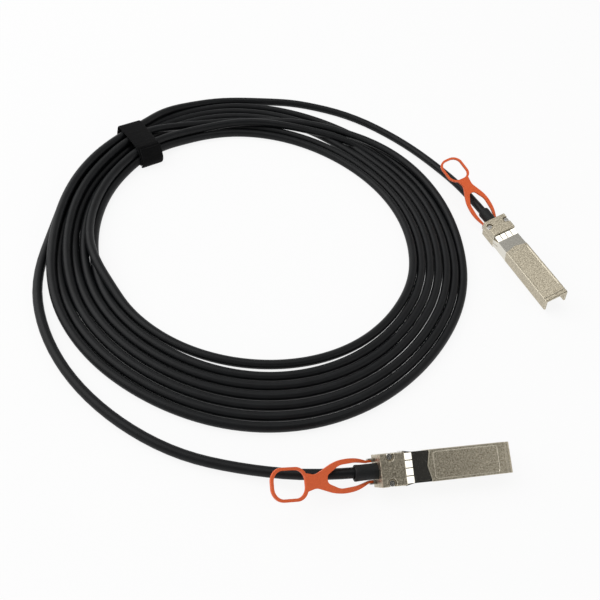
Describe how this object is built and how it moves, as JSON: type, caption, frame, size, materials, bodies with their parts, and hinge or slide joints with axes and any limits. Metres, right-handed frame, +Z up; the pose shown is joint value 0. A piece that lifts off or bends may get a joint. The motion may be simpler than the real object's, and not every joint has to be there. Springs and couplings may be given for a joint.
{
  "type": "direct attach copper cable",
  "caption": "Coiled black twinaxial cable with a metal pluggable module at each end, orange pull tabs on sprung release sliders, tied by one hook-and-loop strap",
  "frame": {"origin": "on the surface the cable lies on, below the centre of the box round the two plugs with their pull tabs", "axes": "+Z is up; +X points along plug a from its back shell to its nose, the way it enters a cage; +Y lies across plug a, towards the coil and plug b"},
  "size_m": [0.2809, 0.2832, 0.0241],
  "materials": {
    "cast_shell": "nickel-plated zinc die casting, fine satin grain",
    "spring_finger_sheet": "bright stamped nickel-plated sheet",
    "screw_steel": "bright plated steel",
    "heat_shrink": "matte black heat-shrink tube",
    "crimp_metal": "plated drawn sleeve",
    "slider_steel": "stamped stainless sheet",
    "spring_wire": "drawn spring wire",
    "card_laminate": "green solder mask over glass-fibre laminate",
    "gold_plate": "gold-plated copper",
    "chip_moulding": "moulded epoxy package",
    "pair_jacket": "foil-wrapped wire pairs",
    "tab_moulding": "satin moulded orange elastomer-like plastic",
    "cable_jacket": "satin black extruded PVC jacket",
    "strap_fabric": "black woven hook-and-loop tape"
  },
  "bodies": {
    "cable_and_plugs": {"top_shell_a": "cast_shell", "bottom_shell_a": "cast_shell", "emi_collar_a": "spring_finger_sheet", "screws_a": "screw_steel", "boot_a": "heat_shrink", "crimp_ferrule_a": "crimp_metal", "return_spring_a": "spring_wire", "circuit_card_a": "card_laminate", "contact_pads_a": "gold_plate", "memory_chip_a": "chip_moulding", "wire_pairs_a": "pair_jacket", "top_shell_b": "cast_shell", "bottom_shell_b": "cast_shell", "emi_collar_b": "spring_finger_sheet", "screws_b": "screw_steel", "boot_b": "heat_shrink", "crimp_ferrule_b": "crimp_metal", "return_spring_b": "spring_wire", "circuit_card_b": "card_laminate", "contact_pads_b": "gold_plate", "memory_chip_b": "chip_moulding", "wire_pairs_b": "pair_jacket", "cable_coil": "cable_jacket", "cable_tail_a": "cable_jacket", "cable_tail_b": "cable_jacket", "coil_strap": "strap_fabric"},
    "slider_a": {"release_slider_a": "slider_steel"},
    "tab_a": {"pull_tab_a": "tab_moulding"},
    "slider_b": {"release_slider_b": "slider_steel"},
    "tab_b": {"pull_tab_b": "tab_moulding"}
  },
  "joints": [
    {"name": "release_slide_a", "type": "slide", "parent": "cable_and_plugs", "child": "slider_a", "axis": [-1, 0, 0], "range_m": [0, 0.0023], "stiffness_N_per_m": 800, "springref_m": -0.003, "deforming": ["return_spring_a"]},
    {"name": "tab_hinge_a", "type": "hinge", "parent": "slider_a", "child": "tab_a", "pos_m": [-0.0444, -0.08822, 0.00564], "axis": [0, 0.8988, 0.4384], "range_deg": [0, 75]},
    {"name": "release_slide_b", "type": "slide", "parent": "cable_and_plugs", "child": "slider_b", "axis": [-0.2419, 0.9703, 0], "range_m": [0, 0.0023], "stiffness_N_per_m": 800, "springref_m": -0.003, "deforming": ["return_spring_b"]},
    {"name": "tab_hinge_b", "type": "hinge", "parent": "slider_b", "child": "tab_b", "pos_m": [0.06924, 0.05919, 0.00502], "axis": [0.9191, 0.2292, 0.3206], "range_deg": [-6, 69]}
  ]
}
